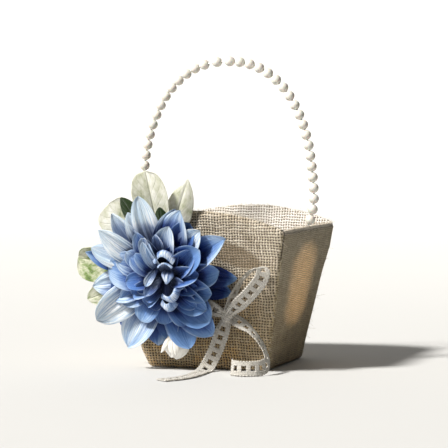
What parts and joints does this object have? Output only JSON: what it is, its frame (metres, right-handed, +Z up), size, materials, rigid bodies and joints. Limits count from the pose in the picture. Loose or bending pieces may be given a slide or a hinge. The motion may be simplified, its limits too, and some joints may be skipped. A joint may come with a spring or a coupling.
{
  "type": "flower girl basket",
  "caption": "Small tapered burlap basket with an arched rim, a pearl-strung wire handle that tilts, and a fabric flower, leaves and lace bow on its front.",
  "frame": {"origin": "the middle of the underside of the cover, on the surface the basket stands on", "axes": "+Z up, -Y towards the trimmed front face, +X to the right of someone who looks at the front"},
  "size_m": [0.164, 0.1924, 0.2271],
  "materials": {
    "burlap": "matte",
    "stiffener": "matte",
    "wire": "satin",
    "pearl": "gloss",
    "blue_petal": "satin",
    "flower_centre": "satin",
    "leaf": "satin",
    "calyx_felt": "matte",
    "cream_petal": "satin",
    "lace": "matte"
  },
  "bodies": {
    "basket": {"burlap_cover": "burlap", "wall_stiffener": "stiffener", "base_board": "stiffener", "burlap_lining": "burlap", "left_handle_pin": "wire", "right_handle_pin": "wire", "flower_calyx": "calyx_felt", "outer_petals": "blue_petal", "middle_petals": "blue_petal", "inner_petals": "blue_petal", "flower_centre": "flower_centre", "top_leaf": "leaf", "right_leaf": "leaf", "upper_left_leaf": "leaf", "left_leaf": "leaf", "cream_petal": "cream_petal", "bow_knot": "lace", "bow_loop": "lace", "left_tail": "lace", "right_tail": "lace"},
    "handle": {"handle_wire": "wire"},
    "pearl_01": {"pearl_01": "pearl"},
    "pearl_02": {"pearl_02": "pearl"},
    "pearl_03": {"pearl_03": "pearl"},
    "pearl_04": {"pearl_04": "pearl"},
    "pearl_05": {"pearl_05": "pearl"},
    "pearl_06": {"pearl_06": "pearl"},
    "pearl_07": {"pearl_07": "pearl"},
    "pearl_08": {"pearl_08": "pearl"},
    "pearl_09": {"pearl_09": "pearl"},
    "pearl_10": {"pearl_10": "pearl"},
    "pearl_11": {"pearl_11": "pearl"},
    "pearl_12": {"pearl_12": "pearl"},
    "pearl_13": {"pearl_13": "pearl"},
    "pearl_14": {"pearl_14": "pearl"},
    "pearl_15": {"pearl_15": "pearl"},
    "pearl_16": {"pearl_16": "pearl"},
    "pearl_17": {"pearl_17": "pearl"},
    "pearl_18": {"pearl_18": "pearl"},
    "pearl_19": {"pearl_19": "pearl"},
    "pearl_20": {"pearl_20": "pearl"},
    "pearl_21": {"pearl_21": "pearl"},
    "pearl_22": {"pearl_22": "pearl"},
    "pearl_23": {"pearl_23": "pearl"},
    "pearl_24": {"pearl_24": "pearl"},
    "pearl_25": {"pearl_25": "pearl"},
    "pearl_26": {"pearl_26": "pearl"},
    "pearl_27": {"pearl_27": "pearl"},
    "pearl_28": {"pearl_28": "pearl"},
    "pearl_29": {"pearl_29": "pearl"},
    "pearl_30": {"pearl_30": "pearl"},
    "pearl_31": {"pearl_31": "pearl"},
    "pearl_32": {"pearl_32": "pearl"},
    "pearl_33": {"pearl_33": "pearl"},
    "pearl_34": {"pearl_34": "pearl"},
    "pearl_35": {"pearl_35": "pearl"},
    "pearl_36": {"pearl_36": "pearl"},
    "pearl_37": {"pearl_37": "pearl"},
    "pearl_38": {"pearl_38": "pearl"},
    "pearl_39": {"pearl_39": "pearl"}
  },
  "joints": [
    {"name": "arch_handle_tilt", "type": "hinge", "parent": "basket", "child": "handle", "pos_m": [0, 0, 0.0965], "axis": [1, 0, 0], "range_deg": [-20, 20]},
    {"name": "pearl_01_spin", "type": "hinge", "parent": "handle", "child": "pearl_01", "pos_m": [-0.0642, 0, 0.10716], "axis": [-0.2755, 0, 0.9613], "continuous": true},
    {"name": "pearl_02_spin", "type": "hinge", "parent": "handle", "child": "pearl_02", "pos_m": [-0.06606, 0, 0.11478], "axis": [-0.1962, 0, 0.9806], "continuous": true},
    {"name": "pearl_03_spin", "type": "hinge", "parent": "handle", "child": "pearl_03", "pos_m": [-0.06702, 0, 0.12257], "axis": [-0.029, 0, 0.9996], "continuous": true},
    {"name": "pearl_04_spin", "type": "hinge", "parent": "handle", "child": "pearl_04", "pos_m": [-0.06678, 0, 0.13041], "axis": [0.0714, 0, 0.9975], "continuous": true},
    {"name": "pearl_05_spin", "type": "hinge", "parent": "handle", "child": "pearl_05", "pos_m": [-0.06608, 0, 0.13823], "axis": [0.0996, 0, 0.995], "continuous": true},
    {"name": "pearl_06_spin", "type": "hinge", "parent": "handle", "child": "pearl_06", "pos_m": [-0.06527, 0, 0.14603], "axis": [0.1112, 0, 0.9938], "continuous": true},
    {"name": "pearl_07_spin", "type": "hinge", "parent": "handle", "child": "pearl_07", "pos_m": [-0.06427, 0, 0.15382], "axis": [0.147, 0, 0.9891], "continuous": true},
    {"name": "pearl_08_spin", "type": "hinge", "parent": "handle", "child": "pearl_08", "pos_m": [-0.06288, 0, 0.16155], "axis": [0.2123, 0, 0.9772], "continuous": true},
    {"name": "pearl_09_spin", "type": "hinge", "parent": "handle", "child": "pearl_09", "pos_m": [-0.06099, 0, 0.16917], "axis": [0.2647, 0, 0.9643], "continuous": true},
    {"name": "pearl_10_spin", "type": "hinge", "parent": "handle", "child": "pearl_10", "pos_m": [-0.05867, 0, 0.17666], "axis": [0.3303, 0, 0.9439], "continuous": true},
    {"name": "pearl_11_spin", "type": "hinge", "parent": "handle", "child": "pearl_11", "pos_m": [-0.05576, 0, 0.18395], "axis": [0.4162, 0, 0.9093], "continuous": true},
    {"name": "pearl_12_spin", "type": "hinge", "parent": "handle", "child": "pearl_12", "pos_m": [-0.05227, 0, 0.19098], "axis": [0.4734, 0, 0.8808], "continuous": true},
    {"name": "pearl_13_spin", "type": "hinge", "parent": "handle", "child": "pearl_13", "pos_m": [-0.04825, 0, 0.19772], "axis": [0.5539, 0, 0.8326], "continuous": true},
    {"name": "pearl_14_spin", "type": "hinge", "parent": "handle", "child": "pearl_14", "pos_m": [-0.04349, 0, 0.20395], "axis": [0.664, 0, 0.7477], "continuous": true},
    {"name": "pearl_15_spin", "type": "hinge", "parent": "handle", "child": "pearl_15", "pos_m": [-0.03794, 0, 0.2095], "axis": [0.7452, 0, 0.6669], "continuous": true},
    {"name": "pearl_16_spin", "type": "hinge", "parent": "handle", "child": "pearl_16", "pos_m": [-0.03179, 0, 0.21437], "axis": [0.8223, 0, 0.569], "continuous": true},
    {"name": "pearl_17_spin", "type": "hinge", "parent": "handle", "child": "pearl_17", "pos_m": [-0.02502, 0, 0.21833], "axis": [0.9027, 0, 0.4302], "continuous": true},
    {"name": "pearl_18_spin", "type": "hinge", "parent": "handle", "child": "pearl_18", "pos_m": [-0.01767, 0, 0.22106], "axis": [0.9625, 0, 0.2714], "continuous": true},
    {"name": "pearl_19_spin", "type": "hinge", "parent": "handle", "child": "pearl_19", "pos_m": [-0.00783, 0, 0.22296], "axis": [0.9936, 0, 0.1127], "continuous": true},
    {"name": "pearl_20_spin", "type": "hinge", "parent": "handle", "child": "pearl_20", "pos_m": [0.00218, 0, 0.22337], "axis": [0.9995, 0, -0.0316], "continuous": true},
    {"name": "pearl_21_spin", "type": "hinge", "parent": "handle", "child": "pearl_21", "pos_m": [0.01, 0, 0.22268], "axis": [0.9895, 0, -0.1447], "continuous": true},
    {"name": "pearl_22_spin", "type": "hinge", "parent": "handle", "child": "pearl_22", "pos_m": [0.01767, 0, 0.22106], "axis": [0.9625, 0, -0.2714], "continuous": true},
    {"name": "pearl_23_spin", "type": "hinge", "parent": "handle", "child": "pearl_23", "pos_m": [0.02502, 0, 0.21833], "axis": [0.9027, 0, -0.4302], "continuous": true},
    {"name": "pearl_24_spin", "type": "hinge", "parent": "handle", "child": "pearl_24", "pos_m": [0.03179, 0, 0.21437], "axis": [0.8223, 0, -0.569], "continuous": true},
    {"name": "pearl_25_spin", "type": "hinge", "parent": "handle", "child": "pearl_25", "pos_m": [0.03794, 0, 0.2095], "axis": [0.7452, 0, -0.6669], "continuous": true},
    {"name": "pearl_26_spin", "type": "hinge", "parent": "handle", "child": "pearl_26", "pos_m": [0.04349, 0, 0.20395], "axis": [0.664, 0, -0.7477], "continuous": true},
    {"name": "pearl_27_spin", "type": "hinge", "parent": "handle", "child": "pearl_27", "pos_m": [0.04825, 0, 0.19772], "axis": [0.5539, 0, -0.8326], "continuous": true},
    {"name": "pearl_28_spin", "type": "hinge", "parent": "handle", "child": "pearl_28", "pos_m": [0.05227, 0, 0.19098], "axis": [0.4734, 0, -0.8808], "continuous": true},
    {"name": "pearl_29_spin", "type": "hinge", "parent": "handle", "child": "pearl_29", "pos_m": [0.05576, 0, 0.18395], "axis": [0.4162, 0, -0.9093], "continuous": true},
    {"name": "pearl_30_spin", "type": "hinge", "parent": "handle", "child": "pearl_30", "pos_m": [0.05867, 0, 0.17666], "axis": [0.3303, 0, -0.9439], "continuous": true},
    {"name": "pearl_31_spin", "type": "hinge", "parent": "handle", "child": "pearl_31", "pos_m": [0.06099, 0, 0.16917], "axis": [0.2647, 0, -0.9643], "continuous": true},
    {"name": "pearl_32_spin", "type": "hinge", "parent": "handle", "child": "pearl_32", "pos_m": [0.06288, 0, 0.16155], "axis": [0.2123, 0, -0.9772], "continuous": true},
    {"name": "pearl_33_spin", "type": "hinge", "parent": "handle", "child": "pearl_33", "pos_m": [0.06427, 0, 0.15382], "axis": [0.147, 0, -0.9891], "continuous": true},
    {"name": "pearl_34_spin", "type": "hinge", "parent": "handle", "child": "pearl_34", "pos_m": [0.06527, 0, 0.14603], "axis": [0.1112, 0, -0.9938], "continuous": true},
    {"name": "pearl_35_spin", "type": "hinge", "parent": "handle", "child": "pearl_35", "pos_m": [0.06608, 0, 0.13823], "axis": [0.0996, 0, -0.995], "continuous": true},
    {"name": "pearl_36_spin", "type": "hinge", "parent": "handle", "child": "pearl_36", "pos_m": [0.06678, 0, 0.13041], "axis": [0.0714, 0, -0.9975], "continuous": true},
    {"name": "pearl_37_spin", "type": "hinge", "parent": "handle", "child": "pearl_37", "pos_m": [0.06702, 0, 0.12257], "axis": [-0.029, 0, -0.9996], "continuous": true},
    {"name": "pearl_38_spin", "type": "hinge", "parent": "handle", "child": "pearl_38", "pos_m": [0.06606, 0, 0.11478], "axis": [-0.1962, 0, -0.9806], "continuous": true},
    {"name": "pearl_39_spin", "type": "hinge", "parent": "handle", "child": "pearl_39", "pos_m": [0.0642, 0, 0.10716], "axis": [-0.2755, 0, -0.9613], "continuous": true}
  ]
}
